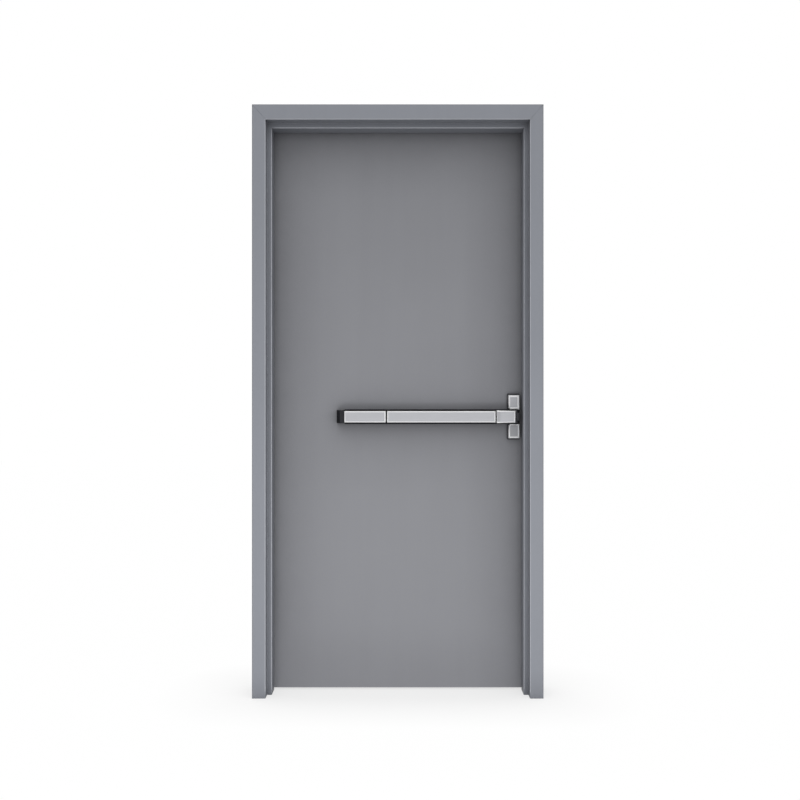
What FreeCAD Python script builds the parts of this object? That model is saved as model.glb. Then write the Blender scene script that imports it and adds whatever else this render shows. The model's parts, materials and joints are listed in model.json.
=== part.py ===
import FreeCAD, Part
import math
import os

V = FreeCAD.Vector

# Doorway between the rabbets of the frame, and from the floor to the head.
opening_width = 930.0
opening_height = 2035.0

# Pressed steel frame, one folded section all round.
jamb_face = 47.5
head_face = 53.5
push_rabbet = 48.0
soffit_depth = 77.0
stop_height = 17.0
wall_return = 45.0
frame_sheet = 1.5
frame_bend = 1.5
mitre_gap = 0.7

# Hollow leaf of two folded sheets, flush with the frame on the pull side.
leaf_thickness = 45.0
leaf_gap = 5.0
stop_gap = 5.0
leaf_undercut = 6.0
leaf_sheet = 1.2
leaf_bend = 1.0
seam_gap = 0.4
channel_sheet = 1.5
channel_bend = 1.0
channel_depth = 25.0

# Butt hinges, counted from the lowest.
hinge_height = 114.0
hinge_backset = 7.0
hinge_plate = 3.4
knuckle_count = 5
knuckle_radius = 7.0
knuckle_gap = 0.4
knuckle_relief = 1.0
pin_radius = 4.0
pin_fit = 0.05
pin_offset = 9.0
pin_head_radius = 6.0
pin_head = 3.0
hinge_from_floor = 254.0
hinge_from_head = 127.0
mortise_fit = 0.25
screw_count = 4
screw_radius = 5.0
screw_shank_radius = 2.6
screw_from_end = 14.0
screw_from_edge = 10.0
backing_thickness = 6.0
backing_margin = 12.0
backing_inset = 3.0

# Fixings of the frame: floor clips, wall clips and rubber silencers.
floor_clip_sheet = 3.0
floor_clip_side_gap = 5.0
floor_clip_upstand = 60.0
floor_clip_edge = 4.0
floor_bolt_spacing = 36.0
floor_bolt_radius = 5.5
wall_clip_sheet = 2.0
wall_clip_side_gap = 2.0
wall_clip_height = 50.0
wall_clip_leg = 20.0
wall_clip_from_floor = 400.0
wall_clip_from_head = 435.0
silencer_radius = 6.0
silencer_clearance = 0.3
silencer_from_floor = 500.0
silencer_from_head = 185.0

# Touch-bar exit device, measured from the leaf's strike edge and the floor.
device_height = 989.0
device_projection = 62.0
device_inset = 19.0
device_wall = 2.5
edge_bevel = 3.0
bar_height = 40.8
bar_length = 388.3
bar_gap = 5.0
bar_side_gap = 5.0
bar_travel = 20.0
bar_back_clearance = 5.5
rail_wall = 1.0
rail_bend = 0.75
rail_depth = 35.0
rail_cover_length = 148.5
end_cap_length = 29.0
end_cap_height = 47.0
end_cap_knee_length = 16.0
end_cap_knee_drop = 11.0
end_cap_toe = 8.0
end_cap_round = 3.0
guide_radius = 5.0
guide_fit = 0.05
guide_inset = 60.0
guide_engagement = 7.0
guide_end_clearance = 2.5
sleeve_wall = 3.0
head_length = 66.4
head_height_bar_end = 46.0
head_height_latch_end = 42.0
head_slope_length = 12.0
head_slope_drop = 4.0
backplate_width = 45.5
backplate_margin = 5.5
backplate_corner = 4.0
backplate_thickness = 4.0
case_length = 8.8
case_height = 48.0
case_projection = 45.0
case_setback = 11.0
cover_width = 38.5
cover_height = 51.0
cover_projection = 30.0
cover_setback = 2.5
cover_from_centre = 26.5
cover_chamfer = 6.0
cover_wall = 2.5
bolt_reach = 1.0
bolt_length = 41.0
bolt_height = 28.0
bolt_thickness = 18.0
bolt_back = 14.0
bolt_fit = 0.3
bolt_nose = 9.0
bolt_tip = 6.0


# Lowest, middle and highest of three fittings up the height of the doorway.
def three_heights(low, high):
    return (low, (low + high) / 2, high)


# Places in the frame: the origin is on the floor, halfway across the face and the soffit of the hinge jamb.
pull_rabbet = leaf_thickness + stop_gap
frame_depth = push_rabbet + soffit_depth + pull_rabbet
frame_top = opening_height + head_face
head_stop = stop_height * head_face / jamb_face
hinge_outer_x = -jamb_face / 2
hinge_rabbet_x = hinge_outer_x + jamb_face
strike_rabbet_x = hinge_rabbet_x + opening_width
strike_outer_x = strike_rabbet_x + jamb_face
centre_x = (hinge_rabbet_x + strike_rabbet_x) / 2
push_face_y = -push_rabbet - soffit_depth / 2
stop_push_y = push_face_y + push_rabbet
stop_pull_y = stop_push_y + soffit_depth
pull_face_y = push_face_y + frame_depth
stop_room = soffit_depth - 2 * frame_sheet
floor_clip_width = stop_room - 2 * floor_clip_side_gap
wall_clip_width = stop_room - 2 * wall_clip_side_gap
wall_clip_heights = three_heights(wall_clip_from_floor, opening_height - wall_clip_from_head)
silencer_heights = three_heights(silencer_from_floor, opening_height - silencer_from_head)

# Places on the leaf.
leaf_hinge_x = hinge_rabbet_x + leaf_gap
leaf_strike_x = strike_rabbet_x - leaf_gap
leaf_width = leaf_strike_x - leaf_hinge_x
leaf_top = opening_height - leaf_gap
leaf_height = leaf_top - leaf_undercut
leaf_pull_y = pull_face_y
leaf_push_y = leaf_pull_y - leaf_thickness
leaf_middle_y = (leaf_push_y + leaf_pull_y) / 2

# Places on the hinges.
hinge_cover = leaf_thickness - hinge_backset
pin_x = (hinge_rabbet_x + leaf_hinge_x) / 2
pin_y = pull_face_y + pin_offset
hinge_low = hinge_from_floor + hinge_height / 2
hinge_high = opening_height - hinge_from_head - hinge_height / 2
hinges = dict(zip(("lower", "middle", "upper"), three_heights(hinge_low, hinge_high)))

# Places along the exit device, from the strike edge of the leaf to its hinge side.
rail_height = bar_height + 2 * (bar_side_gap + rail_wall)
plate_x1 = leaf_strike_x - device_inset
plate_x0 = plate_x1 - backplate_width
backplate_height = 2 * (cover_from_centre + cover_height + backplate_margin)
case_x1 = plate_x1 - case_setback
case_x0 = case_x1 - case_length
head_x0 = case_x0 - head_length
bar_x1 = head_x0 - bar_gap
bar_x0 = bar_x1 - bar_length
rail_cover_x1 = bar_x0 - bar_gap
rail_cover_x0 = rail_cover_x1 - rail_cover_length
cap_x0 = rail_cover_x0 - end_cap_length
bolt_x1 = plate_x1 + bolt_reach
bolt_x0 = bolt_x1 - bolt_length
bar_back = rail_wall + bar_travel + bar_back_clearance
guide_top = device_projection - device_wall - bar_travel - guide_end_clearance
guide_places = (bar_x0 + guide_inset, bar_x1 - guide_inset)


# Depth of a point that stands proud of the push face of the leaf.
def proud(distance):
    return leaf_push_y - distance


# Closed flat face through corners of (vector, radius), with an arc wherever the radius is not zero.
def rounded_face(corners):
    edges = []
    ends = []
    for index, (point, radius) in enumerate(corners):
        before = (corners[index - 1][0] - point).normalize()
        after = (corners[(index + 1) % len(corners)][0] - point).normalize()
        if radius == 0:
            ends.append((point, point))
            continue
        half_angle = before.getAngle(after) / 2
        inward = (before + after).normalize()
        start = point + before * (radius / math.tan(half_angle))
        end = point + after * (radius / math.tan(half_angle))
        middle = point + inward * (radius / math.sin(half_angle) - radius)
        ends.append((start, end))
        edges.append(Part.Arc(start, middle, end).toShape())
    for index, (start, end) in enumerate(ends):
        last_end = ends[index - 1][1]
        if last_end.distanceToPoint(start) > 1e-6:
            edges.append(Part.LineSegment(last_end, start).toShape())
    wire = Part.Wire(Part.__sortEdges__(edges))
    return Part.Face(wire)


# Section of a folded sheet: points run along its outer face, with the sheet on their left.
# The result is a closed list of corners (a, b, radius).
def folded_section(points, thickness, bend):
    directions = []
    for (a0, b0), (a1, b1) in zip(points, points[1:]):
        length = math.hypot(a1 - a0, b1 - b0)
        directions.append(((a1 - a0) / length, (b1 - b0) / length))
    outer = []
    inner = []
    for index, (a, b) in enumerate(points):
        before = directions[max(index - 1, 0)]
        after = directions[min(index, len(directions) - 1)]
        normal_a = -before[1] - after[1]
        normal_b = before[0] + after[0]
        stretch = thickness / (1 + before[0] * after[0] + before[1] * after[1])
        turn = before[0] * after[1] - before[1] * after[0]
        outer_radius = 0
        inner_radius = 0
        if turn > 1e-9:
            outer_radius = bend + thickness
            inner_radius = bend
        elif turn < -1e-9:
            outer_radius = bend
            inner_radius = bend + thickness
        outer.append((a, b, outer_radius))
        inner.append((a + normal_a * stretch, b + normal_b * stretch, inner_radius))
    return outer + inner[::-1]


# Prism of a section that lies level, raised from a height.
def upright_prism(section, bottom, height):
    face = rounded_face([(V(a, b, bottom), radius) for a, b, radius in section])
    return face.extrude(V(0, 0, height))


# Prism of a section across the doorway, run along X; the section is (y, z).
def level_prism(section, start, length):
    face = rounded_face([(V(start, a, b), radius) for a, b, radius in section])
    return face.extrude(V(length, 0, 0))


# Prism of an outline in elevation (x, z), from a depth y towards +Y.
def elevation_prism(outline, depth, length):
    face = rounded_face([(V(a, depth, b), 0) for a, b in outline])
    return face.extrude(V(0, length, 0))


def block(x0, x1, y0, y1, z0, z1):
    return Part.makeBox(x1 - x0, y1 - y0, z1 - z0, V(x0, y0, z0))


# Bevel every edge that lies wholly in the front plane of a cover.
def bevel_front(shape, front):
    edges = [e for e in shape.Edges if all(abs(v.Y - front) < 1e-6 for v in e.Vertexes)]
    return shape.makeChamfer(edge_bevel, edges)


def mirrored(shape):
    return shape.mirror(V(centre_x, 0, 0), V(1, 0, 0))


def export(name, *solids):
    shape = solids[0] if len(solids) == 1 else Part.makeCompound(list(solids))
    for solid in shape.Solids:
        if not solid.isValid() or solid.Volume <= 0:
            raise ValueError("bad solid in " + name)
    shape.exportStep("parts/" + name + ".step")
    print(name, len(shape.Solids), round(shape.Volume / 1000, 1), "cm3")


# Folded frame section as (across, depth): across runs from the outer edge towards the opening.
def frame_section(face, stop):
    push_stop = push_rabbet
    pull_stop = push_rabbet + soffit_depth
    return [
        (0, wall_return),
        (0, 0),
        (face, 0),
        (face, push_stop),
        (face + stop, push_stop),
        (face + stop, pull_stop),
        (face, pull_stop),
        (face, frame_depth),
        (0, frame_depth),
        (0, frame_depth - wall_return),
    ]


# Mitre line from the outer corner of the frame, carried past the stop at its inner end.
def mitre_triangle(keeps_head):
    reach = 2.0
    shift = mitre_gap / 2 if keeps_head else -mitre_gap / 2
    high = (hinge_outer_x - jamb_face * reach + shift, frame_top + head_face * reach)
    low = (hinge_outer_x + jamb_face * reach + shift, frame_top - head_face * reach)
    square = (high[0], low[1]) if keeps_head else (low[0], high[1])
    return elevation_prism([high, low, square], push_face_y, frame_depth)


def plain_jamb():
    points = [(hinge_outer_x + a, push_face_y + b) for a, b in frame_section(jamb_face, stop_height)]
    jamb = upright_prism(folded_section(points, frame_sheet, frame_bend), 0, frame_top)
    return jamb.cut(mitre_triangle(False))


def frame_head():
    points = [(push_face_y + b, frame_top - a) for a, b in frame_section(head_face, head_stop)]
    section = folded_section(points, frame_sheet, frame_bend)
    head = level_prism(section, hinge_outer_x, strike_outer_x - hinge_outer_x)
    corner = mitre_triangle(True)
    return head.cut(corner).cut(mirrored(corner))


# Space that a hinge leaf takes in the edge it is let into, open towards the pull side.
def mortise(x0, x1, height):
    return block(
        x0, x1,
        leaf_pull_y - hinge_cover - mortise_fit, pin_y,
        height - hinge_height / 2 - mortise_fit, height + hinge_height / 2 + mortise_fit,
    )


def hinge_jamb():
    jamb = plain_jamb()
    for height in hinges.values():
        jamb = jamb.cut(mortise(hinge_rabbet_x - hinge_plate, leaf_hinge_x, height))
    return jamb


# Thick plate behind a folded edge, with a pocket that the hinge leaf beds in.
def hinge_backing(sheet_x, outward, pocket, height):
    far_x = sheet_x - outward * backing_thickness
    plate = block(
        min(sheet_x, far_x), max(sheet_x, far_x),
        leaf_pull_y - hinge_cover - backing_inset, leaf_pull_y - backing_inset,
        height - hinge_height / 2 - backing_margin, height + hinge_height / 2 + backing_margin,
    )
    return plate.cut(pocket)


def frame_hinge_backing(height):
    pocket = mortise(hinge_rabbet_x - hinge_plate, hinge_rabbet_x, height)
    return hinge_backing(hinge_rabbet_x - frame_sheet, 1, pocket, height)


def leaf_hinge_backing(height):
    pocket = mortise(leaf_hinge_x, leaf_hinge_x + hinge_plate, height)
    return hinge_backing(leaf_hinge_x + leaf_sheet, -1, pocket, height)


def pin_cylinder(radius, bottom, height):
    return Part.makeCylinder(radius, height, V(pin_x, pin_y, bottom))


# Countersunk holes of one hinge leaf, set alternately near its two upright edges; outward is the way they open.
def screw_holes(face_x, outward, height):
    low = height - hinge_height / 2 + screw_from_end
    pitch = (hinge_height - 2 * screw_from_end) / (screw_count - 1)
    rows = (leaf_pull_y - screw_from_edge, leaf_pull_y - hinge_cover + screw_from_edge)
    holes = []
    for number in range(screw_count):
        seat = V(face_x, rows[number % 2], low + number * pitch)
        holes.append(Part.makeCone(screw_radius, screw_shank_radius, hinge_plate, seat, V(-outward, 0, 0)))
    return Part.makeCompound(holes)


# One leaf of a butt hinge, with the knuckles whose number has the given remainder.
def hinge_leaf(plate_x0, height, remainder, holes):
    bottom = height - hinge_height / 2
    pitch = hinge_height / knuckle_count
    leaf = block(
        plate_x0, plate_x0 + hinge_plate,
        leaf_pull_y - hinge_cover, pin_y,
        bottom, bottom + hinge_height,
    )
    for number in range(knuckle_count):
        low = bottom + number * pitch
        if number % 2 == remainder:
            knuckle_low = low + (knuckle_gap / 2 if number > 0 else 0)
            knuckle_high = low + pitch - (knuckle_gap / 2 if number < knuckle_count - 1 else 0)
            leaf = leaf.fuse(pin_cylinder(knuckle_radius, knuckle_low, knuckle_high - knuckle_low))
        else:
            room = pin_cylinder(knuckle_radius + knuckle_relief, low - knuckle_gap / 2, pitch + knuckle_gap)
            leaf = leaf.cut(room)
    bore = pin_cylinder(pin_radius + pin_fit, bottom, hinge_height)
    return leaf.cut(bore).cut(holes).removeSplitter()


def hinge_pin(height):
    bottom = height - hinge_height / 2
    pin = pin_cylinder(pin_radius, bottom, hinge_height)
    pin = pin.fuse(pin_cylinder(pin_head_radius, bottom + hinge_height, pin_head))
    return pin.fuse(pin_cylinder(pin_head_radius, bottom - pin_head, pin_head)).removeSplitter()


# Angle welded inside the stop of a jamb, with bolt holes to the floor.
def floor_clip():
    soffit_x = hinge_rabbet_x + stop_height - frame_sheet
    low_x = hinge_outer_x + floor_clip_edge
    half = floor_clip_width / 2
    foot = block(low_x, soffit_x, -half, half, 0, floor_clip_sheet)
    upstand = block(soffit_x - floor_clip_sheet, soffit_x, -half, half, 0, floor_clip_upstand)
    clip = foot.fuse(upstand).removeSplitter()
    for side in (-1, 1):
        bolt_y = side * floor_bolt_spacing / 2
        clip = clip.cut(Part.makeCylinder(floor_bolt_radius, floor_clip_sheet, V(0, bolt_y, 0)))
    return clip


# Channel clip welded inside the stop, whose legs grip the wall framing.
def wall_clip(height):
    soffit_x = hinge_rabbet_x + stop_height - frame_sheet
    leg_x = soffit_x - wall_clip_leg
    points = [
        (leg_x, -wall_clip_width / 2),
        (soffit_x, -wall_clip_width / 2),
        (soffit_x, wall_clip_width / 2),
        (leg_x, wall_clip_width / 2),
    ]
    section = folded_section(points, wall_clip_sheet, frame_bend)
    return upright_prism(section, height - wall_clip_height / 2, wall_clip_height)


def silencer(height):
    length = leaf_push_y - stop_pull_y - silencer_clearance
    seat = V(strike_rabbet_x - stop_height / 2, stop_pull_y, height)
    return Part.makeCylinder(silencer_radius, length, seat, V(0, 1, 0))


# Folded leaf sheet: its face with half of each upright edge.
def leaf_pan(face_y, seam_y, first_x, last_x):
    points = [(first_x, seam_y), (first_x, face_y), (last_x, face_y), (last_x, seam_y)]
    pan = upright_prism(folded_section(points, leaf_sheet, leaf_bend), leaf_undercut, leaf_height)
    for height in hinges.values():
        pan = pan.cut(mortise(hinge_rabbet_x, leaf_hinge_x + hinge_plate, height))
    return pan


# Channel closing the leaf between its sheets; its web lies at web_z and its flanges run to flange_z.
def leaf_channel(web_z, flange_z):
    push_y = leaf_push_y + leaf_sheet
    pull_y = leaf_pull_y - leaf_sheet
    points = [(pull_y, flange_z), (pull_y, web_z), (push_y, web_z), (push_y, flange_z)]
    if web_z < flange_z:
        points = points[::-1]
    section = folded_section(points, channel_sheet, channel_bend)
    start = leaf_hinge_x + leaf_sheet + leaf_bend
    return level_prism(section, start, leaf_width - 2 * (leaf_sheet + leaf_bend))


# Shell open towards the leaf, with closed ends and a bevelled front.
def cover_shell(outline, inner_outline, projection, back, wall):
    outer = elevation_prism(outline, proud(projection), projection - back)
    outer = bevel_front(outer, proud(projection))
    room = elevation_prism(inner_outline, proud(projection - wall), projection - wall - back)
    return outer.cut(room)


def rectangle(x0, x1, z0, z1):
    return [(x0, z0), (x1, z0), (x1, z1), (x0, z1)]


def bar_shell(x0, x1, back):
    low = device_height - bar_height / 2
    high = device_height + bar_height / 2
    return cover_shell(
        rectangle(x0, x1, low, high),
        rectangle(x0 + device_wall, x1 - device_wall, low + device_wall, high - device_wall),
        device_projection, back, device_wall,
    )


def guide_cylinder(x, radius, near, far):
    return Part.makeCylinder(radius, far - near, V(x, proud(near), device_height), V(0, -1, 0))


def touch_bar():
    bar = bar_shell(bar_x0, bar_x1, bar_back)
    sleeve_end = guide_top - guide_engagement
    sleeve_top = device_projection - device_wall
    for x in guide_places:
        bar = bar.fuse(guide_cylinder(x, guide_radius + sleeve_wall, sleeve_end, sleeve_top))
        bar = bar.cut(guide_cylinder(x, guide_radius + guide_fit, sleeve_end, sleeve_top))
    return bar


def mounting_rail():
    low = device_height - rail_height / 2
    high = device_height + rail_height / 2
    points = [
        (proud(rail_depth), low),
        (proud(0), low),
        (proud(0), high),
        (proud(rail_depth), high),
    ]
    section = folded_section(points, rail_wall, rail_bend)
    return level_prism(section, rail_cover_x0, plate_x0 - rail_cover_x0)


# Black cap that slopes down from the covers to the leaf, in two facets.
def end_cap():
    knee_x = rail_cover_x0 - end_cap_knee_length
    outline = [
        (rail_cover_x0, proud(0), 0),
        (cap_x0, proud(0), 0),
        (cap_x0, proud(end_cap_toe), end_cap_round),
        (knee_x, proud(device_projection - end_cap_knee_drop), end_cap_round),
        (rail_cover_x0, proud(device_projection), 0),
    ]
    return upright_prism(outline, device_height - end_cap_height / 2, end_cap_height)


# Room for the latch bolt through the pieces that guide it.
def bolt_slot():
    half = bolt_height / 2 + bolt_fit
    return block(
        case_x0 - 2 * device_wall, plate_x1,
        proud(bolt_back + bolt_thickness + bolt_fit), proud(bolt_back - bolt_fit),
        device_height - half, device_height + half,
    )


def head_cover():
    def outline(inset):
        tall = head_height_bar_end / 2 - inset
        short = head_height_latch_end / 2 - inset
        return [
            (head_x0 + inset, device_height - tall),
            (case_x0 - inset, device_height - short),
            (case_x0 - inset, device_height + short),
            (head_x0 + inset, device_height + tall),
        ]
    front_wall = device_wall + head_slope_drop
    shell = cover_shell(outline(0), outline(device_wall), device_projection, backplate_thickness, front_wall)
    slope = upright_prism(
        [
            (head_x0, proud(device_projection), 0),
            (head_x0 + head_slope_length, proud(device_projection), 0),
            (head_x0, proud(device_projection - head_slope_drop), 0),
        ],
        device_height - head_height_bar_end / 2, head_height_bar_end,
    )
    return shell.cut(slope).cut(bolt_slot())


def latch_case():
    half = case_height / 2
    case = block(
        case_x0, case_x1,
        proud(case_projection), proud(backplate_thickness),
        device_height - half, device_height + half,
    )
    return bevel_front(case, proud(case_projection)).cut(bolt_slot())


def latch_backplate():
    half = backplate_height / 2
    plate = block(
        plate_x0, plate_x1,
        proud(backplate_thickness), proud(0),
        device_height - half, device_height + half,
    )
    across = [e for e in plate.Edges if abs(e.tangentAt(e.FirstParameter).y) > 0.5]
    return plate.makeFillet(backplate_corner, across)


# Square cover over or under the latch, with a corner cut off beside the head.
def case_cover(side):
    x1 = plate_x1 - cover_setback
    x0 = x1 - cover_width

    def outline(inset):
        near = cover_from_centre + inset
        far = cover_from_centre + cover_height - inset
        corner = cover_chamfer
        points = [
            (x0 + inset, far),
            (x0 + inset, near + corner),
            (x0 + inset + corner, near),
            (x1 - inset, near),
            (x1 - inset, far),
        ]
        return [(x, device_height + side * z) for x, z in points]
    return cover_shell(outline(0), outline(cover_wall), cover_projection, backplate_thickness, cover_wall)


# Latch bolt, bevelled on the side that meets the frame as the leaf shuts.
def latch_bolt():
    front = proud(bolt_back + bolt_thickness)
    back = proud(bolt_back)
    outline = [
        (bolt_x0, back, 0),
        (bolt_x0, front, 0),
        (bolt_x1 - bolt_nose, front, 0),
        (bolt_x1, back - bolt_tip, 0),
        (bolt_x1, back, 0),
    ]
    return upright_prism(outline, device_height - bolt_height / 2, bolt_height)


os.makedirs("parts", exist_ok=True)

# Frame.
export("hinge_jamb", hinge_jamb())
export("strike_jamb", mirrored(plain_jamb()))
export("frame_head", frame_head())
export("hinge_jamb_floor_clip", floor_clip())
export("strike_jamb_floor_clip", mirrored(floor_clip()))
export("hinge_jamb_wall_clips", *[wall_clip(z) for z in wall_clip_heights])
export("strike_jamb_wall_clips", *[mirrored(wall_clip(z)) for z in wall_clip_heights])
export("frame_hinge_backings", *[frame_hinge_backing(z) for z in hinges.values()])
export("door_silencers", *[silencer(z) for z in silencer_heights])

# Hinges, with the end knuckles and the pin on the frame.
for hinge_name, hinge_z in hinges.items():
    frame_holes = screw_holes(hinge_rabbet_x, 1, hinge_z)
    door_holes = screw_holes(leaf_hinge_x, -1, hinge_z)
    export(hinge_name + "_hinge_frame_leaf", hinge_leaf(hinge_rabbet_x - hinge_plate, hinge_z, 0, frame_holes))
    export(hinge_name + "_hinge_door_leaf", hinge_leaf(leaf_hinge_x, hinge_z, 1, door_holes))
    export(hinge_name + "_hinge_pin", hinge_pin(hinge_z))

# Leaf.
push_seam_y = leaf_middle_y - seam_gap / 2
pull_seam_y = leaf_middle_y + seam_gap / 2
export("push_face_sheet", leaf_pan(leaf_push_y, push_seam_y, leaf_hinge_x, leaf_strike_x))
export("pull_face_sheet", leaf_pan(leaf_pull_y, pull_seam_y, leaf_strike_x, leaf_hinge_x))
export("leaf_top_channel", leaf_channel(leaf_top, leaf_top - channel_depth))
export("leaf_bottom_channel", leaf_channel(leaf_undercut + channel_depth, leaf_undercut))
export("leaf_hinge_backings", *[leaf_hinge_backing(z) for z in hinges.values()])

# Exit device.
export("mounting_rail", mounting_rail())
export("rail_end_cap", end_cap())
export("rail_cover", bar_shell(rail_cover_x0, rail_cover_x1, rail_wall))
export("touch_bar_guides", *[guide_cylinder(x, guide_radius, rail_wall, guide_top) for x in guide_places])
export("touch_bar", touch_bar())
export("head_cover", head_cover())
export("latch_backplate", latch_backplate())
export("latch_case", latch_case())
export("upper_case_cover", case_cover(1))
export("lower_case_cover", case_cover(-1))
export("latch_bolt", latch_bolt())
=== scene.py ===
import json
import math
import bmesh
import bpy
from mathutils import Matrix, Vector


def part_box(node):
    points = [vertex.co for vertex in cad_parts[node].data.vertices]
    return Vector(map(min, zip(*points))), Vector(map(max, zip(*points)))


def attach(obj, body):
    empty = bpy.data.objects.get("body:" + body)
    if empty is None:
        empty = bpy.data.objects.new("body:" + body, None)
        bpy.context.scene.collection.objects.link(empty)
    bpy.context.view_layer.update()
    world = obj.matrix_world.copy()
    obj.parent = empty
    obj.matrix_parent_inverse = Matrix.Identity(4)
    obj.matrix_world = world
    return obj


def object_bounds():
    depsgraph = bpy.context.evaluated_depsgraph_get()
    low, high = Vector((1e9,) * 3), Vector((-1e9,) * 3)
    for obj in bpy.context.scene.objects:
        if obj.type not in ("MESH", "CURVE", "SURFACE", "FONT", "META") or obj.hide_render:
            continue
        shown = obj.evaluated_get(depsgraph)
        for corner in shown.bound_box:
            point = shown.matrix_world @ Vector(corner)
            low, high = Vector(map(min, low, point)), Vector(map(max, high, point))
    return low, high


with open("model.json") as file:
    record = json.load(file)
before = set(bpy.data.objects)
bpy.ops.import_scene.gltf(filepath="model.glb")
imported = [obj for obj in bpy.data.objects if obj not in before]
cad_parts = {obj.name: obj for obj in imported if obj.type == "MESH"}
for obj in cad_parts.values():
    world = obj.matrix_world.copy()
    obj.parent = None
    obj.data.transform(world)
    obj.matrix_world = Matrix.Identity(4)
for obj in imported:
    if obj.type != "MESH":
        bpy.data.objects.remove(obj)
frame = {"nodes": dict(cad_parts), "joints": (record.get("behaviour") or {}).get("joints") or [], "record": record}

cadLow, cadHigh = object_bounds()
scene = bpy.context.scene
scene.view_settings.view_transform = "Standard"
print("frame loaded:", len(frame["nodes"]), "nodes")

# places that several pieces need, all read from the frame
jambLow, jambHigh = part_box("hinge_jamb")
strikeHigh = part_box("strike_jamb")[1]
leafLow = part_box("push_face_sheet")[0]
barLow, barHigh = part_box("touch_bar")
barMiddleZ = (barLow.z + barHigh.z) / 2
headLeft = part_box("head_cover")[0].x
doorMiddleX = (jambLow.x + strikeHigh.x) / 2
doorMiddleZ = cadHigh.z / 2
pushFaceY = jambLow.y
pullFaceY = jambHigh.y


# camera: straight on from the push side, level, a little over a metre up
cameraSet = {
    "lens": 50.0,
    "sensor": 36.0,
    "distance": 3.904,      # from the push face of the frame
    "height": 1.049,
    "aside": 0.0079,        # towards the strike jamb from the middle of the door
    "clipEnd": 60.0,
}


def makeCamera():
    look = cameraSet
    data = bpy.data.cameras.new("doorCamera")
    data.lens = look["lens"]
    data.sensor_width = look["sensor"]
    data.clip_end = look["clipEnd"]
    camera = bpy.data.objects.new("doorCamera", data)
    camera.location = (doorMiddleX + look["aside"], pushFaceY - look["distance"], look["height"])
    camera.rotation_euler = (math.pi / 2, 0, 0)
    scene.collection.objects.link(camera)
    scene.camera = camera


makeCamera()
print("camera set")


# node helpers: a socket given as a value is linked, anything else is set
def addNode(tree, kind, sockets=None, **settings):
    made = tree.nodes.new(kind)
    for key, value in settings.items():
        setattr(made, key, value)
    for key, value in (sockets or {}).items():
        if isinstance(value, bpy.types.NodeSocket):
            tree.links.new(value, made.inputs[key])
        else:
            made.inputs[key].default_value = value
    return made


def addMath(tree, operation, first, second=0.0, clamp=False):
    sockets = {0: first, 1: second}
    return addNode(tree, "ShaderNodeMath", sockets, operation=operation, use_clamp=clamp).outputs[0]


def multiply(tree, first, *others):
    for other in others:
        first = addMath(tree, "MULTIPLY", first, other)
    return first


def oneLess(tree, value):
    return addMath(tree, "SUBTRACT", 1.0, value)


def addVector(tree, operation, first, second=(0.0, 0.0, 0.0), output="Vector"):
    sockets = {0: first, 1: second}
    return addNode(tree, "ShaderNodeVectorMath", sockets, operation=operation).outputs[output]


def addRange(tree, value, low, high, toLow=0.0, toHigh=1.0):
    sockets = {"Value": value, "From Min": low, "From Max": high, "To Min": toLow, "To Max": toHigh}
    return addNode(tree, "ShaderNodeMapRange", sockets, clamp=True).outputs["Result"]


def addNoise(tree, vector, scale, detail=2.0, roughness=0.5):
    sockets = {"Vector": vector, "Scale": scale, "Detail": detail, "Roughness": roughness}
    return addNode(tree, "ShaderNodeTexNoise", sockets).outputs[0]


def stretched(tree, vector, scale):
    return addNode(tree, "ShaderNodeMapping", {"Vector": vector, "Scale": scale}).outputs[0]


def mixColour(tree, factor, first, second):
    sockets = {0: factor, 6: first, 7: second}
    return addNode(tree, "ShaderNodeMix", sockets, data_type="RGBA").outputs[2]


def objectPlace(tree):
    return addNode(tree, "ShaderNodeTexCoord").outputs["Object"]


def objectNormal(tree):
    return addNode(tree, "ShaderNodeTexCoord").outputs["Normal"]


def splitAxes(tree, vector):
    return addNode(tree, "ShaderNodeSeparateXYZ", {0: vector}).outputs


def newGroup(name, inputs, outputs):
    group = bpy.data.node_groups.new(name, "ShaderNodeTree")
    for label, kind, value in inputs:
        group.interface.new_socket(label, in_out="INPUT", socket_type=kind).default_value = value
    for label in outputs:
        group.interface.new_socket(label, in_out="OUTPUT", socket_type="NodeSocketFloat")
    return group, addNode(group, "NodeGroupInput").outputs, addNode(group, "NodeGroupOutput").inputs


def placeGroup(tree, group, sockets=None):
    made = addNode(tree, "ShaderNodeGroup", node_tree=group)
    for label, value in (sockets or {}).items():
        made.inputs[label].default_value = value
    return made.outputs


# effects that several finishes share
noiseSpan = (0.3, 0.7)      # where most of a noise's values lie
cornerSamples = 6


def clearOfCorners(tree, reach):
    sockets = {"Distance": reach}
    return addNode(tree, "ShaderNodeAmbientOcclusion", sockets, samples=cornerSamples).outputs["AO"]


sprayedSkinSet = {
    "cloudScale": 2.4,
    "peelScale": 420.0,
    "speckScale": 260.0,
    "passStretch": (16.0, 16.0, 0.9),   # spray passes, drawn out up the height
    "cloudShare": 0.55,
    "passShare": 0.30,
    "speckShare": 0.15,
    "toneSpan": (0.32, 0.68),
}


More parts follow.
